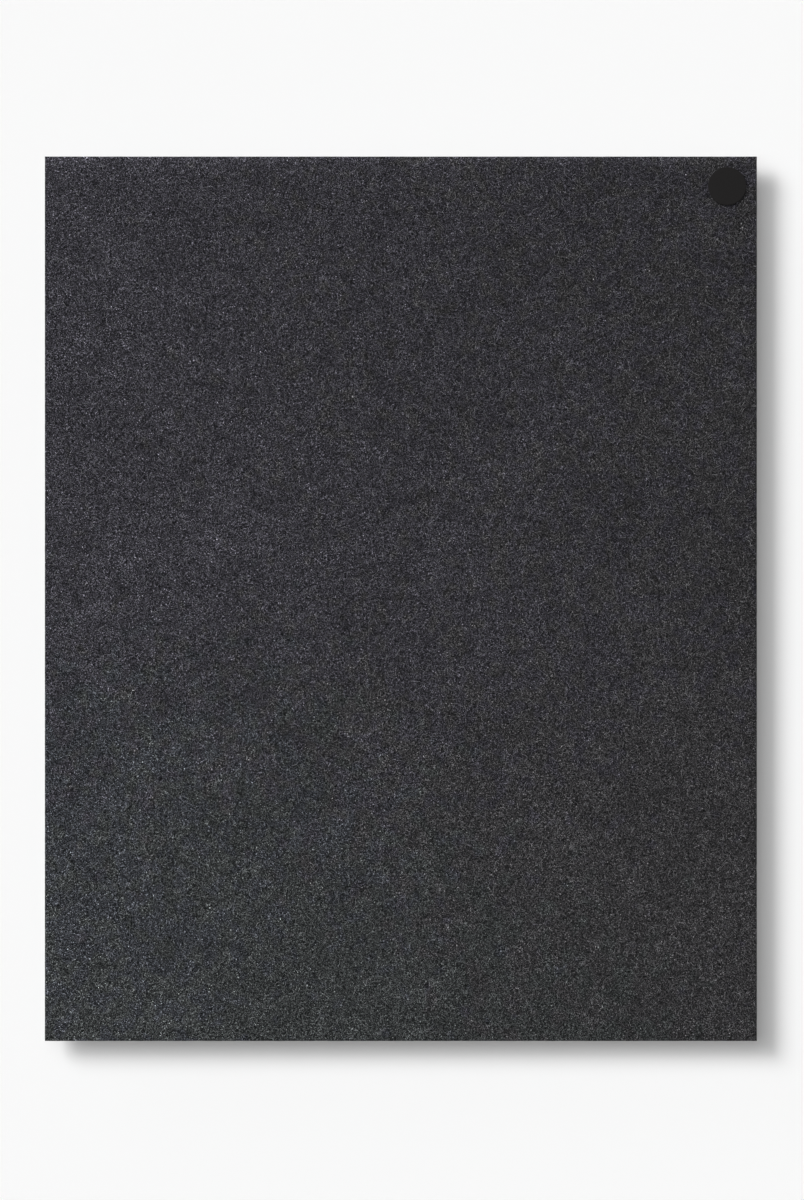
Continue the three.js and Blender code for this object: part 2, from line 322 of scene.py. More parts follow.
@dataclass(frozen=True)
class FeltFinish(Finish):
    """Needled polyester felt: charcoal fibres of many greys.

    The shade drifts a little across the sheet: painted shade makes it lighter to the lower left and darker
    towards the right and the top, as light falls off across it, and it is bluer towards the top. Where it
    is lighter, its fibres stand out more. A painted highlight makes it paler along its top edge, where
    light catches it. The pits between fibres are darker than the noise alone makes them: that darkening
    is painted shade. Sizes are in millimetres, but the depth of the relief is in metres, as in the other
    finishes.
    """

    name: str = "charcoal_felt"
    median: float = 0.0246
    half_width: float = 400.0
    half_height: float = 500.0
    # Painted shade: the felt darkens towards the right and the top, as light falls off across the sheet.
    painted_shade_right: float = -0.092
    painted_shade_up: float = -0.056
    swirl: Pair = (16.0, 7.0)
    blue: Colour = (1.011, 0.977, 1.18, 1.0)
    grey: Colour = (1.022, 0.996, 1.05, 1.0)
    green_cast: Colour = (0.93, 1.034, 0.99, 1.0)
    cloud_sizes: Numbers = (0.8, 3.6, 9.0, 26.0, 90.0)
    cloud_weights: Numbers = (0.4, 0.15, 0.22, 0.25, 0.15)
    streak_sizes: tuple[Triple, ...] = ((6.0, 2.0, 0.8), (2.0, 0.8, 0.5))
    streak_weights: Numbers = (0.2, 3.42)
    liveliness: float = 0.92
    # Painted shade in the pits between fibres: how strong it is, and over which range of the noise it acts.
    pit_shade_depth: float = 0.3
    pit_shade_range: Pair = (-1.3, 0.1)
    cloud_turn: float = 0.4
    cloud_detail: float = 0.5
    streak_turns: int = 5
    streak_spacing: float = 3.7
    middle_height: float = -350.0
    # A painted highlight along the top edge: where it starts, how pale it is, and how far down it fades.
    top_height: float = 150.0
    painted_top_highlight: float = 0.5
    top_reach: float = 8.5
    wide: Pattern = Pattern(150.0, detail=2.0, turn=1.1, shift=5.0)
    spots: Pattern = Pattern(17.0, detail=1.5, turn=0.3, shift=9.0)
    patches: Pattern = Pattern(24.0, detail=1.5, turn=2.1, shift=17.0)
    blue_rise: Pair = (-1.1, 0.2)
    blue_weights: Numbers = (1.8, 6.0, 1.5, -0.75)
    blue_rest: float = -0.42
    green_fall: Pair = (-0.7, 1.0)
    green_weights: Numbers = (-1.0, 5.5, -2.9, -2.4)
    green_rest: float = -0.3
    streak_relief: float = 0.3
    cloud_relief: float = 0.12
    relief_depth: float = 0.35 * MM

    def streaks(self, graph: Graph, place: Socket) -> Signal:
        """Bundles of fibre: noises pulled out along several headings, summed by their weights.

        Each size adds its own thickness to its headings, so that two sizes don't line up.

        Args:
            graph: the material's graph.
            place: coordinates in millimetres.

        Returns:
            The sum, about zero.
        """
        total = 0.0
        for size, weight in zip(self.streak_sizes, self.streak_weights):
            for turn in range(self.streak_turns):
                heading = math.pi * turn / self.streak_turns + size[2]
                laid = Pattern(size, turn=heading, shift=self.streak_spacing * turn + size[0])
                total = total + weight * graph.noise(place, laid)
        return total

    def clouds(self, graph: Graph, place: Socket) -> Signal:
        """Thick and thin patches: noises of several sizes, each turned its own way, summed by weights."""
        laid = [Pattern(size, self.cloud_detail, self.cloud_turn * size, size) for size in self.cloud_sizes]
        return weighed(self.cloud_weights, [graph.noise(place, pattern) for pattern in laid])

    def tint(self, graph: Graph, place: Socket, right: Signal, up: Signal) -> Socket:
        """Works out the felt's cast of colour.

        Blue fibres gather in spots, the more so to the left and towards the top, and a green cast lies in
        patches at the lower left. Each is a sum of noises and of where the point lies, cut to 0 to 1.

        Args:
            graph: the material's graph.
            place: coordinates in millimetres.
            right: how far to the right a point lies, from -1 to 1.
            up: how far up it lies, from -1 to 1.

        Returns:
            The colour that the level of grey is multiplied by.
        """
        wide, spots, patches = (graph.noise(place, laid) for laid in (self.wide, self.spots, self.patches))
        parts = (wide, spots, up.step(*self.blue_rise), right)
        bluer = weighed(self.blue_weights, parts, self.blue_rest)
        parts = (wide, patches, up, right.step(*self.green_fall))
        greener = weighed(self.green_weights, parts, self.green_rest)
        blueness = graph.blend(bluer.step(0.0, 1.0), self.grey, self.blue)
        greenness = graph.blend(greener.step(0.0, 1.0), WHITE, self.green_cast)
        return graph.vector_maths("MULTIPLY", blueness, greenness)

    def sockets(self, graph: Graph) -> dict[str, Any]:
        """Level: the median times e to the noises and the painted light, less in the pits, where shade is
        painted.

        Args:
            graph: the material's graph.

        Returns:
            What the shader's sockets are given.
        """
        place = graph.millimetres()
        bent = graph.warped(place, self.swirl)
        sides = graph.node("ShaderNodeSeparateXYZ", {}, {0: place}).outputs
        right = Signal(graph, sides["X"]) * (1 / self.half_width)
        height = Signal(graph, sides["Z"])
        up = (height - self.middle_height) * (1 / self.half_height)
        # A painted highlight that pales the felt along its top edge, fading downwards.
        top = ((height - self.top_height) * (1 / self.top_reach)).exp() * self.painted_top_highlight
        streaks, clouds = self.streaks(graph, bent), self.clouds(graph, bent)
        # The random clouds, plus painted shade that darkens the felt towards the right and the top.
        clouds_and_painted_shade = clouds + self.painted_shade_right * right + self.painted_shade_up * up
        shade = streaks * (clouds_and_painted_shade * self.liveliness).exp() + clouds_and_painted_shade + top
        # Painted shade in the pits between fibres: the darkest tones are darkened further.
        pits = shade.step(*self.pit_shade_range) * self.pit_shade_depth + (1 - self.pit_shade_depth)
        level = shade.exp() * pits * self.median
        relief = streaks * self.streak_relief + clouds * self.cloud_relief
        return {
            "Base Color": graph.scaled(self.tint(graph, place, right, up), level),
            "Roughness": 1.0,
            "Specular IOR Level": 0.05,
            "Sheen Weight": 0.04,
            "Sheen Roughness": 0.6,
            "Normal": graph.relief(relief, self.relief_depth),
        }


@dataclass(frozen=True)
class FibreFinish(Finish):
    """Loose fibres of one grey; each strand has its own shade, in the attribute named shade."""

    name: str
    colour: str
    spread: float

    def sockets(self, graph: Graph) -> dict[str, Any]:
        """The colour times e to the strand's shade, which runs from -1 to 1.

        Args:
            graph: the material's graph.

        Returns:
            What the shader's sockets are given.
        """
        settings = {"attribute_type": "GEOMETRY", "attribute_name": "shade"}
        shade = Signal(graph, graph.node("ShaderNodeAttribute", settings).outputs["Fac"])
        level = (shade * self.spread).exp()
        return {
            "Base Color": graph.scaled(linear(self.colour), level),
            "Roughness": 0.9,
            "Specular IOR Level": 0.1,
        }


def moulded(grain: float) -> tuple[Pattern, ...]:
    """The patterns of a moulding: a fine grain of the given size, in relief, and a faint mottle."""
    fine = Pattern(grain, detail=2.0, colour=0.4, roughness=0.15, relief=1.0)
    return fine, Pattern(6.0, detail=3.0, turn=0.5, shift=3.0, colour=0.35, roughness=0.2)


def drawn(line: float) -> tuple[Pattern, ...]:
    """The patterns of drawn or rolled metal: lines along X of the given width, in relief, and a haze."""
    lines = Pattern((400.0, line, line), detail=2.0, colour=0.3, roughness=0.3, relief=1.0)
    return lines, Pattern((45.0, 12.0, 12.0), detail=3.0, shift=4.0, colour=0.25, roughness=0.25)


# Pressed fibre: flecks that lie along three headings, in relief, and faint clouds
PRESSED_FIBRE = (
    *(
        Pattern((3.2, 1.0, 0.45), turn=turn, shift=shift, colour=2.2, roughness=0.2, relief=1.0)
        for shift, turn in enumerate((0.3, 1.35, 2.4))
    ),
    Pattern(60.0, detail=4.0, colour=0.9, roughness=0.25),
)


@dataclass(frozen=True)
class GrainedFinish(Finish):
    """One colour with a few patterns in it: a moulding, pressed board or drawn metal."""

    name: str
    colour: str
    roughness: float
    patterns: tuple[Pattern, ...]
    depth: float
    specular: float = 0.5
    metallic: float = 0.0
    swirl: Pair | None = None

    def sockets(self, graph: Graph) -> dict[str, Any]:
        """Each pattern changes the colour, the roughness and the relief by its weights.

        Args:
            graph: the material's graph.

        Returns:
            What the shader's sockets are given.
        """
        place = graph.millimetres()
        if self.swirl is not None:
            place = graph.warped(place, self.swirl)
        noises = [graph.noise(place, pattern) for pattern in self.patterns]
        level = weighed([pattern.colour for pattern in self.patterns], noises, 1.0)
        relief = weighed([pattern.relief for pattern in self.patterns], noises)
        return {
            "Base Color": graph.scaled(linear(self.colour), level),
            "Roughness": weighed([pattern.roughness for pattern in self.patterns], noises, self.roughness),
            "Specular IOR Level": self.specular,
            "Metallic": self.metallic,
            "Normal": graph.relief(relief, self.depth),
        }


class Grain(Enum):
    """Which way a piece of timber was sawn to run."""

    ALONG_X = 0
    ALONG_Z = 2


@dataclass(frozen=True)
class PineFinish(Finish):
    """Planed softwood: rings about a heart that runs along the batten, some way in from its back face."""

    name: str
    grain: Grain
    middle: Triple
    seed: float
    early: str = "#dcc6a0"
    late: str = "#b18f62"
    ring: float = 2.9
    late_range: Pair = (0.15, 1.0)
    heart_depth: float = 13.0
    wander_length: float = 11.0
    wander: Pair = (19.0, 21.0)
    streak_length: float = 70.0
    pores: Pattern = Pattern(0.45, detail=2.0, colour=0.4, roughness=0.2, relief=0.6)
    bands: Pattern = Pattern(5.0, detail=2.0, shift=2.0, colour=0.3)
    darkness: Triple = (0.75, 0.5, 0.35)
    roughness: float = 0.74
    late_roughness: float = -0.14
    late_relief: float = 0.25
    depth: float = 0.05 * MM

    def pulled(self, length: float) -> Triple:
        """A feature of one millimetre, pulled out to the length along the grain."""
        return (length, 1.0, 1.0) if self.grain is Grain.ALONG_X else (1.0, 1.0, length)

    def sockets(self, graph: Graph) -> dict[str, Any]:
        """A ring is one span of the distance from the heart: it darkens slowly and ends sharply.

        The heart's line wanders, so the rings show as long arcs where the back face runs into them.

        Args:
            graph: the material's graph.

        Returns:
            What the shader's sockets are given.
        """
        place = graph.vector_maths("SUBTRACT", graph.millimetres(), self.middle)
        pulled = graph.stretched(place, self.pulled(self.wander_length), 0.0, self.seed)
        bent = graph.warped(pulled, self.wander)
        keep = (0.0, 1.0, 1.0) if self.grain is Grain.ALONG_X else (1.0, 1.0, 0.0)
        heart = [-share * self.seed for share in SHIFT_SHARES]
        heart[1] += self.heart_depth
        offset = graph.vector_maths("MULTIPLY_ADD", bent, keep, tuple(a * b for a, b in zip(heart, keep)))
        radius = graph.node("ShaderNodeVectorMath", {"operation": "LENGTH"}, {0: offset}).outputs["Value"]
        late = (Signal(graph, radius) * (1 / self.ring)).fraction().step(*self.late_range)
        fine = graph.stretched(place, self.pulled(self.streak_length), 0.0, self.seed)
        pores, bands = graph.noise(fine, self.pores), graph.noise(fine, self.bands)
        darkness = weighed(self.darkness, (late, bands, pores))
        colour = graph.blend(darkness, linear(self.early), linear(self.late))
        return {
            "Base Color": graph.scaled(colour, pores * self.pores.colour + bands * self.bands.colour + 1.0),
            "Roughness": late * self.late_roughness + pores * self.pores.roughness + self.roughness,
            "Specular IOR Level": 0.3,
            "Normal": graph.relief(pores * self.pores.relief + late * self.late_relief, self.depth),
        }


@dataclass(frozen=True)
class PlatedFinish(Finish):
    """Plated or phosphated steel, rubbed brighter in patches."""

    name: str
    colour: str
    rubbed: str
    roughness: float
    patches: Pattern = Pattern(1.8, detail=3.0, colour=0.5, roughness=-0.08)
    patch_range: Pair = (0.05, 0.3)
    fine: Pattern = Pattern(0.3, detail=1.0, shift=6.0, roughness=0.3)
    depth: float = 0.01 * MM

    def sockets(self, graph: Graph) -> dict[str, Any]:
        """Patches of noise let the rubbed colour through; fine noise roughens the rest.

        Args:
            graph: the material's graph.

        Returns:
            What the shader's sockets are given.
        """
        place = graph.millimetres()
        patch = graph.noise(place, self.patches).step(*self.patch_range)
        fine = graph.noise(place, self.fine)
        rubbed = patch * self.patches.colour
        return {
            "Base Color": graph.blend(rubbed, linear(self.colour), linear(self.rubbed)),
            "Roughness": fine * self.fine.roughness + patch * self.patches.roughness + self.roughness,
            "Metallic": 0.9,
            "Normal": graph.relief(fine, self.depth),
        }


@dataclass(frozen=True)
class WallFinish:
    """Plain white wall, drawn for the camera from its front and for light that bounces off it."""

    level: float
    name: str = "plain_wall"

    def material(self) -> bpy.types.Material:
        """The wall shows where a ray from the camera meets its front.

        It stops diffuse rays there too, and every ray that has bounced twice, so that nothing shines
        through it onto the back of the board and from there into the board's shadow.

        Returns:
            The new material.
        """
        material, graph = new_graph(self.name)
        rays = graph.node("ShaderNodeLightPath").outputs
        behind = Signal(graph, graph.node("ShaderNodeNewGeometry").outputs["Backfacing"])
        seen = Signal(graph, rays["Is Camera Ray"]) + Signal(graph, rays["Is Diffuse Ray"])
        bounced = Signal(graph, rays["Ray Depth"]).step(1.0, 2.0)
        paint = graph.node("ShaderNodeBsdfDiffuse", {}, {"Color": (self.level,) * 3 + (1.0,)})
        clear = graph.node("ShaderNodeBsdfTransparent")
        sockets = {0: (seen + bounced) * (1.0 - behind), 1: clear.outputs[0], 2: paint.outputs[0]}
        mixed = graph.node("ShaderNodeMixShader", {}, sockets)
        graph.node("ShaderNodeOutputMaterial", {}, {"Surface": mixed.outputs[0]})
        return material


# Mesh building


def grid_quads(rows: int, columns: int, wrapped: bool = False) -> np.ndarray:
    """The four corners of each cell in a grid of points.

    Args:
        rows: how many rows of points there are.
        columns: how many points a row has.
        wrapped: whether a row's last point is joined to its first.

    Returns:
        An array of corner numbers, four to a cell.
    """
    row = np.arange(rows - 1)[:, None] * columns
    here = np.arange(columns if wrapped else columns - 1)[None, :]
    after = (here + 1) % columns
    above = row + columns
    return np.stack([row + here, row + after, above + after, above + here], -1).reshape(-1, 4)


def signed_volume(points: np.ndarray, faces: Iterable[np.ndarray]) -> float:
    """Six times the volume inside the faces, negative where they point inwards.

    It is the sum over the triangles of a . (b x c), with each face cut into triangles from one corner.

    Args:
        points: the points, three numbers each.
        faces: arrays of corner numbers, one array for each number of corners.

    Returns:
        The sum.
    """
    total = 0.0
    for group in faces:
        for corner in range(1, group.shape[1] - 1):
            a, b, c = points[group[:, 0]], points[group[:, corner]], points[group[:, corner + 1]]
            total += float(np.einsum("ij,ij->i", a, np.cross(b, c)).sum())
    return total


def put_in_scene(name: str, data: bpy.types.ID) -> bpy.types.Object:
    """Makes an object and links it to the scene.

    Args:
        name: the object's name.
        data: the mesh, lamp or camera that it shows.

    Returns:
        The new object.
    """
    made = bpy.data.objects.new(name, data)
    bpy.context.scene.collection.objects.link(made)
    return made


def make_piece(
    name: str,
    points: np.ndarray,
    faces: Iterable[np.ndarray],
    material: bpy.types.Material,
    body: str,
    slot: str,
    crease: float | None = None,
    shade: np.ndarray | None = None,
) -> bpy.types.Object:
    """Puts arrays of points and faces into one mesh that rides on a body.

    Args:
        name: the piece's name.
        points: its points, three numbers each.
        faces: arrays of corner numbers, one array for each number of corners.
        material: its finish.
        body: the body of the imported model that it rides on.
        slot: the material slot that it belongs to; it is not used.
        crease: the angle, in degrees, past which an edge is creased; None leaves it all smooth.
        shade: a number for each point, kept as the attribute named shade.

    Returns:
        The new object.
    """
    groups = [group for group in faces if len(group)]
    if signed_volume(points - points.mean(0), groups) < 0:
        groups = [group[:, ::-1] for group in groups]
    counts = np.concatenate([np.full(len(group), group.shape[1]) for group in groups])
    corners = np.concatenate([group.ravel() for group in groups])
    mesh = bpy.data.meshes.new(name)
    mesh.vertices.add(len(points))
    mesh.vertices.foreach_set("co", points.astype(np.float32).ravel())
    mesh.loops.add(len(corners))
    mesh.loops.foreach_set("vertex_index", corners.astype(np.int32))
    mesh.polygons.add(len(counts))
    starts = np.concatenate([[0], np.cumsum(counts)[:-1]])
    mesh.polygons.foreach_set("loop_start", starts.astype(np.int32))
    mesh.update(calc_edges=True)
    mesh.shade_smooth()
    if crease is not None:
        mesh.set_sharp_from_angle(angle=math.radians(crease))
    if shade is not None:
        values = mesh.attributes.new("shade", "FLOAT", "POINT").data
        values.foreach_set("value", shade.astype(np.float32).ravel())
    mesh.materials.append(material)
    made = put_in_scene(name, mesh)
    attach(made, body)
    LOG.info("%s: %d points, %d faces", name, len(points), len(counts))
    return made


def closed_rings(rings: np.ndarray, first: np.ndarray, last: np.ndarray) -> Skin:
    """Joins rings of points into one closed skin.

    Args:
        rings: the rings, as an array of rings x points x 3.
        first: the point that closes the skin before the first ring.
        last: the point that closes it after the last ring.

    Returns:
        The points, and the faces as quads and triangles.
    """
    count, sides, _ = rings.shape
    points = np.concatenate([rings.reshape(-1, 3), [first], [last]])
    here = np.arange(sides)
    after = (here + 1) % sides
    end = (count - 1) * sides
    near = np.stack([np.full(sides, count * sides), after, here], -1)
    far = np.stack([np.full(sides, count * sides + 1), end + here, end + after], -1)
    return points, [grid_quads(count, sides, True), np.concatenate([near, far])]


def extent(node: str) -> tuple[np.ndarray, np.ndarray, np.ndarray]:
    """The corners of a node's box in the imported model, and its middle as seen from the front, at y = 0."""
    low, high = (np.array(corner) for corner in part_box(node))
    return low, high, np.array([(low[0] + high[0]) / 2, 0.0, (low[2] + high[2]) / 2])


def turned_skin(profile: np.ndarray, centre: np.ndarray, sides: int) -> Skin:
    """Carries a profile round the Y axis through a centre.

    A point is (cx + r cos a, cy - d, cz + r sin a), for each row (r, d) of the profile and each angle a.
    The first and last rows lie on the axis and become single points.

    Args:
        profile: rows of radius and depth out from the wall.
        centre: where the axis is.
        sides: how many points go round.

    Returns:
        The points and the faces.
    """
    angle = np.linspace(0, 2 * math.pi, sides, endpoint=False)
    radius, depth = profile[1:-1, 0][:, None], profile[1:-1, 1][:, None]
    flat = np.broadcast_to(-depth, (len(profile) - 2, sides))
    rings = np.stack([radius * np.cos(angle), flat, radius * np.sin(angle)], -1) + centre
    ends = [np.array([0.0, -profile[place, 1], 0.0]) + centre for place in (0, -1)]
    return closed_rings(rings, *ends)


def arc(centre: Pair, radius: float, start: float, end: float, steps: int) -> np.ndarray:
    """Points of an arc: centre + radius (cos a, sin a), with a from start to end in degrees."""
    angle = np.radians(np.linspace(start, end, steps + 1))
    return np.stack([centre[0] + radius * np.cos(angle), centre[1] + radius * np.sin(angle)], -1)


def lattice_noise(x: np.ndarray, z: np.ndarray, size: float, seed: int) -> np.ndarray:
    """Random values on a square lattice, joined by the blend 3t^2 - 2t^3.

    Args:
        x: places along x.
        z: places along z.
        size: the lattice's pitch.
        seed: which random values are used.

    Returns:
        Numbers from -1 to 1, one for each place.
    """
    table = np.random.default_rng(seed).uniform(-1, 1, (LATTICE_CELLS, LATTICE_CELLS))
    column, row = np.floor(x / size).astype(int), np.floor(z / size).astype(int)
    across, up = x / size - column, z / size - row
    across, up = across * across * (3 - 2 * across), up * up * (3 - 2 * up)
    left, right = column % LATTICE_CELLS, (column + 1) % LATTICE_CELLS
    below, above = row % LATTICE_CELLS, (row + 1) % LATTICE_CELLS
    low = table[left, below] * (1 - across) + table[right, below] * across
    high = table[left, above] * (1 - across) + table[right, above] * across
    return low * (1 - up) + high * up


# Sub-assemblies


@dataclass(frozen=True)
class FibreLayer:
    """A scatter of loose strands that lie on the felt, in one or more pieces."""

    name: str
    finish: FibreFinish
    pieces: int
    count: int
    seed: int
    length: Pair = (3.0 * MM, 10.0 * MM)
    radius: Pair = (0.05 * MM, 0.1 * MM)
    lift: float = 0.35 * MM
    lowest_rise: float = 0.25
    bend: float = 1.3


@dataclass
class FeltFace:
    """The felt sheet: a slab with gentle lumps, soft cut edges and loose fibres on its face."""

    columns: int = 265
    rows: int = 329
    edge_steps: int = 4
    edge_round: float = 0.7 * MM
    edge_wobble: float = 0.1 * MM
    edge_wobble_size: float = 4.0 * MM
    edge_wobble_seed: int = 5
    lump_height: float = 0.16 * MM
    lump_sizes: Numbers = (0.012, 0.031, 0.11)
    lump_shares: Numbers = (0.35, 0.4, 0.25)
    strand_points: int = 6
    strand_margin: float = 1.5 * MM
    strand_sink: float = 0.06 * MM
    strand_taper: float = 0.06
    finish: FeltFinish = FeltFinish()
    layers: tuple[FibreLayer, ...] = (
        FibreLayer(
            "felt_pale_fibres", FibreFinish("pale_fibre", "#97989b", 0.6), pieces=4, count=6000, seed=11
        ),
        FibreLayer(
            "felt_dark_fibres", FibreFinish("dark_fibre", "#1c1c1f", 0.7), pieces=2, count=6000, seed=21
        ),
        FibreLayer(
            "felt_lint",
            FibreFinish("white_lint", "#c9c9c6", 0.3),
            pieces=1,
            count=60,
            seed=31,
            length=(1.2 * MM, 3.0 * MM),
            radius=(0.1 * MM, 0.22 * MM),
            lift=0.4 * MM,
            bend=4.0,
        ),
    )
    low: np.ndarray = field(default_factory=lambda: np.array(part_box("felt_face")[0]))
    high: np.ndarray = field(default_factory=lambda: np.array(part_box("felt_face")[1]))

    def lumps(self, x: np.ndarray, z: np.ndarray) -> np.ndarray:
        """Works out the lumps: lattice noises of several sizes, summed by their shares.

        Args:
            x: places along x.
            z: places along z.

        Returns:
            How far the face stands out at each place.
        """
        return self.lump_height * sum(
            share * lattice_noise(x, z, size, seed)
            for seed, (size, share) in enumerate(zip(self.lump_sizes, self.lump_shares))
        )

    def slab(self) -> bpy.types.Object:
        """Builds the sheet.

        The face is a grid in x and z whose depth is the lumps. From its border, rings go out round a
        quarter circle, straight back along the cut edge, and round another quarter circle to the back,
        which is closed by triangles to its middle.

        Returns:
            The sheet's object.
        """
        low, high, turn = self.low, self.high, self.edge_round
        across = np.linspace(low[0] + turn, high[0] - turn, self.columns)
        up = np.linspace(low[2] + turn, high[2] - turn, self.rows)
        x, z = np.meshgrid(across, up)
        face = np.stack([x, low[1] - self.lumps(x, z), z], -1)
        numbers = np.arange(self.rows * self.columns).reshape(self.rows, self.columns)
        border = np.concatenate([numbers[0], numbers[1:, -1], numbers[-1, -2::-1], numbers[-2:0:-1, 0]])
        start = face.reshape(-1, 3)[border]
        wobble = self.edge_wobble * lattice_noise(
            start[:, 0], start[:, 2], self.edge_wobble_size, self.edge_wobble_seed
        )
        sideways = 1.0 * (start[:, 0] >= across[-1]) - 1.0 * (start[:, 0] <= across[0])
        upwards = 1.0 * (start[:, 2] >= up[-1]) - 1.0 * (start[:, 2] <= up[0])
        out = np.stack([sideways, np.zeros(len(start)), upwards], -1)
        angles = np.radians(np.linspace(0, 90, self.edge_steps + 1))[1:]
        sides = [(turn * math.sin(a), low[1] + turn - turn * math.cos(a)) for a in angles]
        sides += [(turn, (low[1] + high[1]) / 2)]
        sides += [(turn * math.cos(a), high[1] - turn + turn * math.sin(a)) for a in (0.0, *angles)]
        rings = []
        for reach, depth in sides:
            ring = start + out * (reach - wobble * reach / turn)[:, None]
            ring[:, 1] = depth + (start[:, 1] - low[1]) * max(0.0, 1 - (depth - low[1]) / turn)
            rings.append(ring)
        points = np.concatenate([face.reshape(-1, 3), *rings, [[0.0, high[1], (low[2] + high[2]) / 2]]])
        count, first = len(border), self.rows * self.columns
        loops = np.concatenate([border, np.arange(first, first + count * len(rings))])
        skirt = loops[grid_quads(len(rings) + 1, count, True)]
        last = loops[-count:]
        back = np.stack([last, np.roll(last, -1), np.full(count, len(points) - 1)], -1)
        faces = [np.concatenate([grid_quads(self.rows, self.columns), skirt[:, ::-1]]), back[:, ::-1]]
        return make_piece("felt_sheet", points, faces, self.finish.material(), "board", "charcoal_felt")

    def strands(self, layer: FibreLayer, material: bpy.types.Material, piece: int) -> bpy.types.Object:
        """Builds one piece of a scatter of strands.

        A strand starts at a random place and heading, and its heading turns evenly along its length. It
        rises and dips as lift times sin(pi t) above the lumps, with both ends just under the surface.
        Each has three sides, and its radius follows the root of sin(pi t).

        Args:
            layer: how many strands there are and how long, thick and curled they are.
            material: their finish.
            piece: which piece of the scatter this is.

        Returns:
            The piece's object.
        """
        random = np.random.default_rng(layer.seed + piece)
        count, steps = layer.count, self.strand_points
        margin, gap = self.strand_margin, self.strand_margin / 3
        start = random.uniform(self.low[[0, 2]] + margin, self.high[[0, 2]] - margin, (count, 2))
        heading = random.uniform(0, 2 * math.pi, count)
        curl = random.normal(0, layer.bend, count)
        length = random.uniform(*layer.length, count)
        t = np.linspace(0, 1, steps)
        angle = heading[:, None] + curl[:, None] * (t - 0.5)
        pace = (length / (steps - 1))[:, None]
        x = start[:, :1] + np.cumsum(np.cos(angle) * pace, 1)
        z = start[:, 1:] + np.cumsum(np.sin(angle) * pace, 1)
        x = np.clip(x, self.low[0] + gap, self.high[0] - gap)
        z = np.clip(z, self.low[2] + gap, self.high[2] - gap)
        rise = random.uniform(layer.lowest_rise, 1.0, (count, 1)) * layer.lift * np.sin(math.pi * t)
        y = self.low[1] - self.lumps(x, z) - rise + self.strand_sink
        swell = np.sqrt(np.sin(math.pi * (self.strand_taper + (1 - 2 * self.strand_taper) * t)))
        thick = random.uniform(*layer.radius, (count, 1)) * swell
        spin = np.radians(np.array([90.0, 210.0, 330.0]))
        sides = len(spin)
        out, side = thick[..., None] * np.sin(spin), thick[..., None] * np.cos(spin)
        rings = np.stack(
            [
                x[..., None] - side * np.sin(angle)[..., None],
                y[..., None] - out,
                z[..., None] + side * np.cos(angle)[..., None],
            ],
            -1,
        )
        first = (np.arange(count) * steps * sides)[:, None, None]
        skin = (grid_quads(steps, sides, True)[None] + first).reshape(-1, 4)
        ring = np.arange(sides)
        ends = np.stack([ring, steps * sides - 1 - ring])
        tips = (ends[None, ::-1, ::-1] + first).reshape(-1, sides)
        shade = np.repeat(random.uniform(-1, 1, count), steps * sides)
        name, points = f"{layer.name}_{piece + 1}", rings.reshape(-1, 3)
        return make_piece(name, points, [skin, tips], material, "board", "charcoal_felt", shade=shade)

    def loose_fibres(self) -> list[bpy.types.Object]:
        """Builds every piece of every scatter.

        Returns:
            The pieces.
        """
        made = []
        for layer in self.layers:
            material = layer.finish.material()
            made += [self.strands(layer, material, piece) for piece in range(layer.pieces)]
        return made

    def build(self) -> None:
        """Makes the sheet and its loose fibres, and puts them in the place of the plain slab."""
        sheet = self.slab()
        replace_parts(sheet, "felt_face")
        loose = self.loose_fibres()


@dataclass
class Magnet:
    """The round magnet: a moulded cap over a steel pot over the magnetic disc."""

    sides: int = 144
    wall: float = 0.6 * MM
    crown: float = 0.2 * MM
    crown_rings: int = 13
    edge_round: float = 0.5 * MM
    edge_steps: int = 10
    rim_round: float = 0.12 * MM
    rim_steps: int = 4
    crease: float = 40.0
    finish: GrainedFinish = GrainedFinish(
        "matte_black_cap", "#191818", roughness=0.85, patterns=moulded(0.4), depth=0.03 * MM, specular=0.12
    )
    pot: PlatedFinish = PlatedFinish("zinc_plated_pot", "#8d9094", "#b9bcbf", roughness=0.42)
    disc: PlatedFinish = PlatedFinish("nickel_plated_disc", "#b5b2aa", "#d2cfc7", roughness=0.26)

    def cap(self) -> bpy.types.Object:
        """Turns the cap: inside top, inner wall, rim, outer wall, rounded edge and slightly crowned top.

        Returns:
            The cap's object.
        """
        low, high, centre = extent("magnet_cap")
        radius, rim, top = (high[0] - low[0]) / 2, -high[1], -low[1]
        shoulder, reach = top - self.crown, radius - self.edge_round
        inner, soft = radius - self.wall, self.rim_round
        spread = np.linspace(1, 0, self.crown_rings + 1)[1:]
        profile = np.concatenate(
            [
                [[0.0, top - self.wall], [inner, top - self.wall]],
                arc((inner + soft, rim + soft), soft, 180, 270, self.rim_steps),
                arc((radius - soft, rim + soft), soft, 270, 360, self.rim_steps),
                arc((reach, shoulder - self.edge_round), self.edge_round, 0, 90, self.edge_steps),
                np.stack([reach * spread, shoulder + self.crown * (1 - spread**2)], -1),
            ]
        )
        skin, material = turned_skin(profile, centre, self.sides), self.finish.material()
        return make_piece("round_cap", *skin, material, "magnet", "black_cap", self.crease)

    def build(self) -> None:
        """Makes the cap and dresses the steel under it."""
        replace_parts(self.cap(), "magnet_cap")
        dress(["magnet_pot"], self.pot.material())
        dress(["magnet_disc"], self.disc.material())


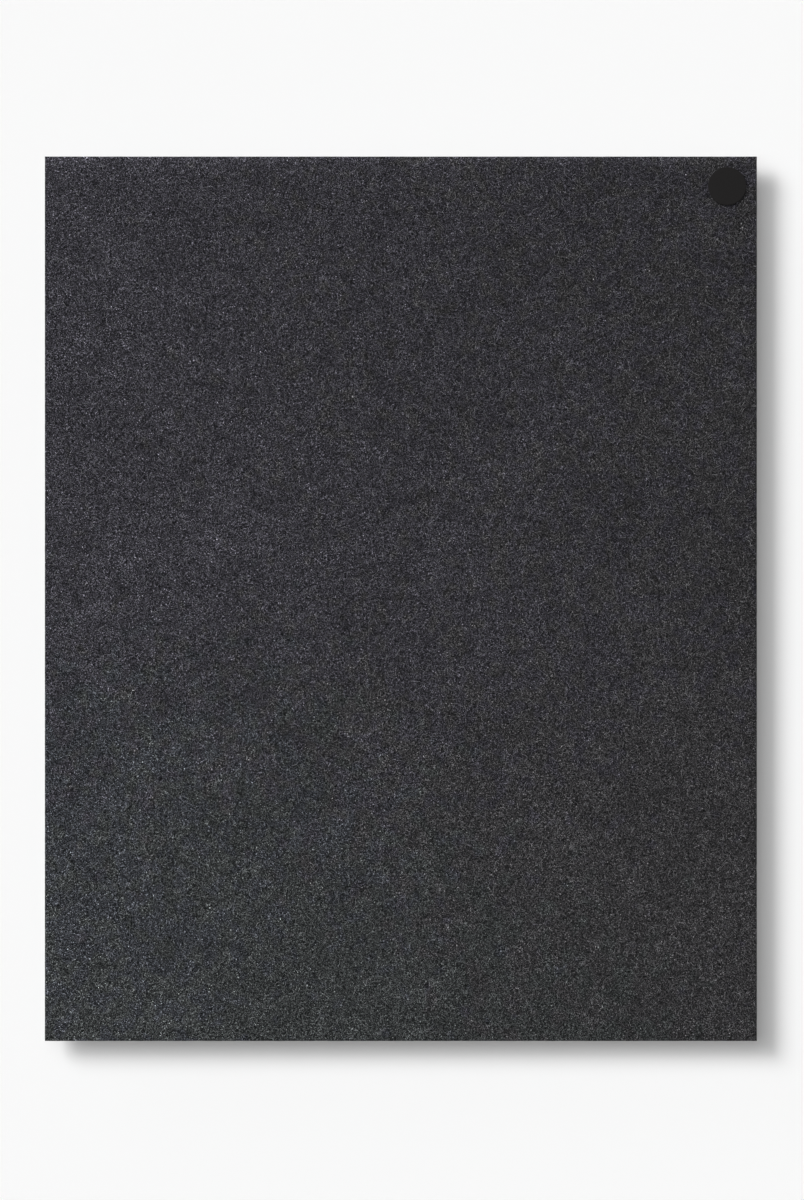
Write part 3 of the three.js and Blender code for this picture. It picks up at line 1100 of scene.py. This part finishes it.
@dataclass
class Screws:
    """The countersunk wood screws: a flat head with a cross recess, and a threaded shank with a point."""

    sides: int = 48
    recess_depth: float = 1.3 * MM
    recess_reach: float = 2.1 * MM
    recess_width: float = 0.42 * MM
    recess_flare: Pair = (1.25, 0.35)
    recess_slope: float = 0.22 * MM
    recess_end: float = 0.5 * MM
    top_reach: Pair = (0.05, 0.93)
    top_rings: int = 22
    rim: tuple[Pair, ...] = ((0.97, 0.0), (1.0, 0.04 * MM), (1.0, 0.22 * MM))
    cone_depth: float = 2.0 * MM
    cone_rings: int = 4
    shank_radius: float = 1.75 * MM
    thread_start: float = 2.1 * MM
    thread_pitch: float = 1.6 * MM
    thread_height: float = 0.3 * MM
    ring_pitch: float = 0.2 * MM
    point_length: float = 2.5 * MM
    point_gap: float = 0.05 * MM
    point_share: float = 0.06
    crease: float = 35.0
    finish: PlatedFinish = PlatedFinish("black_phosphated_screw", "#2b2b2d", "#6b6c6f", roughness=0.42)

    def skin(self, node: str) -> Skin:
        """Works out one screw.

        Rings run from the middle of the head's top, over its rim and cone, and down the shank to the
        point. On the top, a ring's depth falls by the recess where the smaller of |u| and |w| is inside
        the arms of a cross. Down the shank, the radius is less by the thread height times a triangle
        wave of (depth / pitch - angle / 2 pi).

        Args:
            node: the screw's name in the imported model.

        Returns:
            The points and the faces.
        """
        low, high, middle = extent(node)
        back, tip = high[1], low[1]
        head, length, shank = (high[2] - low[2]) / 2, back - tip, self.shank_radius
        angle = np.linspace(0, 2 * math.pi, self.sides, endpoint=False)
        top = np.linspace(*self.top_reach, self.top_rings)[:, None] * head
        u, w = np.abs(top * np.cos(angle)), np.abs(top * np.sin(angle))
        widest, narrowing = self.recess_flare
        width = self.recess_width * (widest - narrowing * top / self.recess_reach)
        arms = np.clip((width - np.minimum(u, w)) / self.recess_slope + 0.5, 0, 1)
        taper = np.clip((self.recess_reach - top) / self.recess_end, 0, 1)
        top_depth = self.recess_depth * arms * taper
        rim = np.array(self.rim) * (head, 1.0)
        land = rim[-1, 1]
        cone = np.linspace(land, self.cone_depth, self.cone_rings + 1)[1:]
        cone_radius = head + (shank - head) * (cone - land) / (self.cone_depth - land)
        fixed = np.concatenate([rim, np.stack([cone_radius, cone], -1)])
        run = np.arange(self.thread_start, length - self.point_gap, self.ring_pitch)[:, None]
        core = shank * np.clip((length - run) / self.point_length, self.point_share, 1)
        turn = run / self.thread_pitch - angle / (2 * math.pi)
        wave = np.abs(2 * (turn - np.floor(turn)) - 1)
        threaded = core - self.thread_height * wave * core / shank
        spread = np.ones(self.sides)
        radius = np.concatenate([top * spread, fixed[:, :1] * spread, threaded])
        depth = np.concatenate([top_depth, fixed[:, 1:] * spread, run * spread])
        rings = np.stack([radius * np.cos(angle), back - depth, radius * np.sin(angle)], -1)
        ends = [middle + (0.0, back - self.recess_depth, 0.0), middle + (0.0, tip, 0.0)]
        return closed_rings(rings + middle, *ends)

    def build(self) -> None:
        """Makes every screw in the place of its plain one."""
        material = self.finish.material()
        for node in sorted(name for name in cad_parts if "screw" in name):
            skin = self.skin(node)
            made = make_piece(f"cross_{node}", *skin, material, "board", "black_screw", self.crease)
            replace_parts(made, node)


@dataclass
class Bumpers:
    """The rubber bumpers: low domes with a soft edge and a shallow ring."""

    sides: int = 96
    edge_round: float = 0.7 * MM
    edge_steps: int = 8
    seat_edge: float = 0.1 * MM
    top_rings: int = 29
    ring: float = 6.2 * MM
    ring_width: float = 0.45 * MM
    ring_depth: float = 0.18 * MM
    crease: float = 50.0
    finish: GrainedFinish = GrainedFinish(
        "black_rubber", "#1d1d1d", roughness=0.8, patterns=moulded(0.5), depth=0.05 * MM, specular=0.3
    )

    def build(self) -> None:
        """Turns each bumper: flat seat, straight side, rounded edge and a top with one shallow ring."""
        material = self.finish.material()
        for node in sorted(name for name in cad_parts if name.startswith("bumper")):
            low, high, centre = extent(node)
            radius, seat, soft = (high[0] - low[0]) / 2, -low[1], self.edge_round
            inner = np.linspace(radius - soft, 0, self.top_rings + 1)[1:]
            groove = self.ring_depth * np.exp(-(((inner - self.ring) / self.ring_width) ** 2))
            profile = np.concatenate(
                [
                    [[0.0, seat], [radius - self.seat_edge, seat], [radius, seat - self.seat_edge]],
                    arc((radius - soft, soft), soft, 0, -90, self.edge_steps),
                    np.stack([inner, groove], -1),
                ]
            )
            skin = turned_skin(profile, centre, self.sides)
            made = make_piece(f"domed_{node}", *skin, material, "board", "bumper_rubber", self.crease)
            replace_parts(made, node)


def dress(nodes: Iterable[str], material: bpy.types.Material) -> None:
    """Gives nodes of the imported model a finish, in their own material slots.

    Args:
        nodes: the nodes' names.
        material: what they wear.
    """
    for node in nodes:
        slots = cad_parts[node].material_slots
        for place in range(len(slots)):
            slots[place].material = material
        LOG.info("%s wears %s", node, material.name)


@dataclass
class Carcass:
    """What carries the felt: the panel with its bands, the steel sheet and the battens."""

    board: GrainedFinish = GrainedFinish(
        "black_fibreboard",
        "#1b1b1c",
        roughness=0.66,
        patterns=PRESSED_FIBRE,
        depth=0.05 * MM,
        specular=0.14,
        swirl=(9.0, 2.0),
    )
    band: GrainedFinish = GrainedFinish(
        "black_edge_band", "#19191b", roughness=0.66, patterns=moulded(1.2), depth=0.015 * MM, specular=0.14
    )
    steel: GrainedFinish = GrainedFinish(
        "zinced_steel", "#74777b", roughness=0.42, patterns=drawn(0.8), depth=0.01 * MM, metallic=1.0
    )
    battens: tuple[tuple[str, Grain, float], ...] = (
        ("top", Grain.ALONG_X, -1.5),
        ("bottom", Grain.ALONG_X, -0.5),
        ("left", Grain.ALONG_Z, 0.5),
        ("right", Grain.ALONG_Z, 1.5),
    )

    def build(self) -> None:
        """Dresses the panel, the bands, the steel and each batten, with the grain along it."""
        dress(["core_panel"], self.board.material())
        dress(["steel_sheet"], self.steel.material())
        dress([f"edge_band_{side}" for side in ("left", "right", "top", "bottom")], self.band.material())
        for side, grain, seed in self.battens:
            low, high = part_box(f"batten_{side}")
            middle = ((low[0] + high[0]) / 2 / MM, high[1] / MM, (low[2] + high[2]) / 2 / MM)
            dress([f"batten_{side}"], PineFinish(f"pine_{side}", grain, middle, seed).material())


@dataclass
class Rails:
    """The two hooked rails."""

    finish: GrainedFinish = GrainedFinish(
        "extruded_aluminium", "#818386", roughness=0.42, patterns=drawn(0.35), depth=0.01 * MM, metallic=1.0
    )

    def build(self) -> None:
        """Dresses both rails."""
        dress(["wall_rail", "board_rail"], self.finish.material())


class Side(Enum):
    """Which side of the wall a lamp stands on."""

    FRONT = -1
    BEHIND = 1


@dataclass(frozen=True)
class Lamp:
    """A broad, far lamp: where it stands, how wide it looks and its share of the light on the wall."""

    name: str
    side: Side
    right: float
    up: float
    width: float
    share: float

    def build(self) -> None:
        """Adds the lamp. Its strength is the share times pi over the cosine of its angle to the wall."""
        towards = np.array([self.right, self.side.value, self.up])
        towards = towards / np.linalg.norm(towards)
        light = bpy.data.lights.new(self.name, "SUN")
        light.energy = self.share * math.pi / abs(towards[1])
        light.angle = math.radians(self.width)
        lamp = put_in_scene(self.name, light)
        lamp.rotation_mode = "QUATERNION"
        back = np.array([0.0, 0.0, 1.0])
        axis, turn = np.cross(back, towards), math.acos(float(np.dot(back, towards)))
        axis = axis / max(np.linalg.norm(axis), 1e-9)
        lamp.rotation_quaternion = (math.cos(turn / 2), *(axis * math.sin(turn / 2)))


@dataclass
class Studio:
    """The wall, the light and the camera."""

    wall_width: float = 9.0
    wall_middle: Triple = (0.0, 0.6 * MM, -0.35)
    ambient: float = 0.06
    backdrop: float = 0.939
    photo: tuple[int, int] = (804, 1200)
    pixel: float = 1.1306 * MM
    middle: Pair = (1.3 * MM, -351.4 * MM)
    distance: float = 6.0
    sensor: float = 36.0
    sight: float = 50.0
    lamps: tuple[Lamp, ...] = (
        Lamp("window_left", Side.FRONT, -1.174, 0.685, 28.3, 0.207),
        Lamp("window_high", Side.FRONT, -1.11, 0.991, 23.4, 0.241),
        Lamp("window_near", Side.FRONT, -0.545, 0.396, 63.0, 0.28),
        Lamp("front_panel", Side.FRONT, 0.0, 0.0, 8.0, 0.212),
        Lamp("rear_high", Side.BEHIND, -0.8, 0.8, 110.0, 0.85),
        Lamp("rear_low", Side.BEHIND, 0.7, -0.3, 110.0, 0.5),
    )

    def wall(self) -> None:
        """Stands a square wall behind the board, facing the camera."""
        half = self.wall_width / 2
        points = np.array([[-half, 0, -half], [half, 0, -half], [half, 0, half], [-half, 0, half]])
        mesh = bpy.data.meshes.new("wall")
        mesh.from_pydata((points + self.wall_middle).tolist(), [], [[0, 1, 2, 3]])
        mesh.materials.append(WallFinish(level=self.backdrop).material())
        wall = put_in_scene("wall", mesh)

    def world(self) -> None:
        """Fills the room with a low light, and shows the backdrop's white to the camera and in gloss."""
        room = bpy.data.worlds.new("room")
        bpy.context.scene.world = room
        graph = Graph(room)
        rays = graph.node("ShaderNodeLightPath").outputs
        shown = [Signal(graph, rays[f"Is {kind} Ray"]) for kind in ("Camera", "Glossy", "Transmission")]
        white = graph.node("ShaderNodeBackground", {}, {"Color": WHITE, "Strength": self.backdrop})
        dim = graph.node("ShaderNodeBackground", {}, {"Color": WHITE, "Strength": self.ambient})
        sockets = {0: shown[0] + shown[1] + shown[2], 1: dim.outputs[0], 2: white.outputs[0]}
        mixed = graph.node("ShaderNodeMixShader", {}, sockets)
        graph.node("ShaderNodeOutputWorld", {}, {"Surface": mixed.outputs[0]})

    def camera(self) -> None:
        """Places the camera square to the board, with the lens that gives the photograph's frame."""
        lens = bpy.data.cameras.new("camera")
        lens.sensor_width = self.sensor
        lens.lens = self.sensor * self.distance / (max(self.photo) * self.pixel)
        lens.clip_end = self.sight
        made = put_in_scene("camera", lens)
        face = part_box("felt_face")[0][1]
        made.location = (self.middle[0], face - self.distance, self.middle[1])
        made.rotation_euler = (math.pi / 2, 0.0, 0.0)
        bpy.context.scene.camera = made

    def build(self) -> None:
        """Sets up the camera, the light and the wall."""
        bpy.context.scene.view_settings.view_transform = "Standard"
        self.camera()
        self.world()
        for lamp in self.lamps:
            lamp.build()
        self.wall()


def main() -> None:
    """Builds the studio and the board's sub-assemblies in order."""
    logging.basicConfig(level=logging.INFO, format="%(message)s")
    for part in (Studio(), FeltFace(), Magnet(), Carcass(), Rails(), Screws(), Bumpers()):
        part.build()
        LOG.info("%s is built", type(part).__name__)


if __name__ == "__main__":
    main()
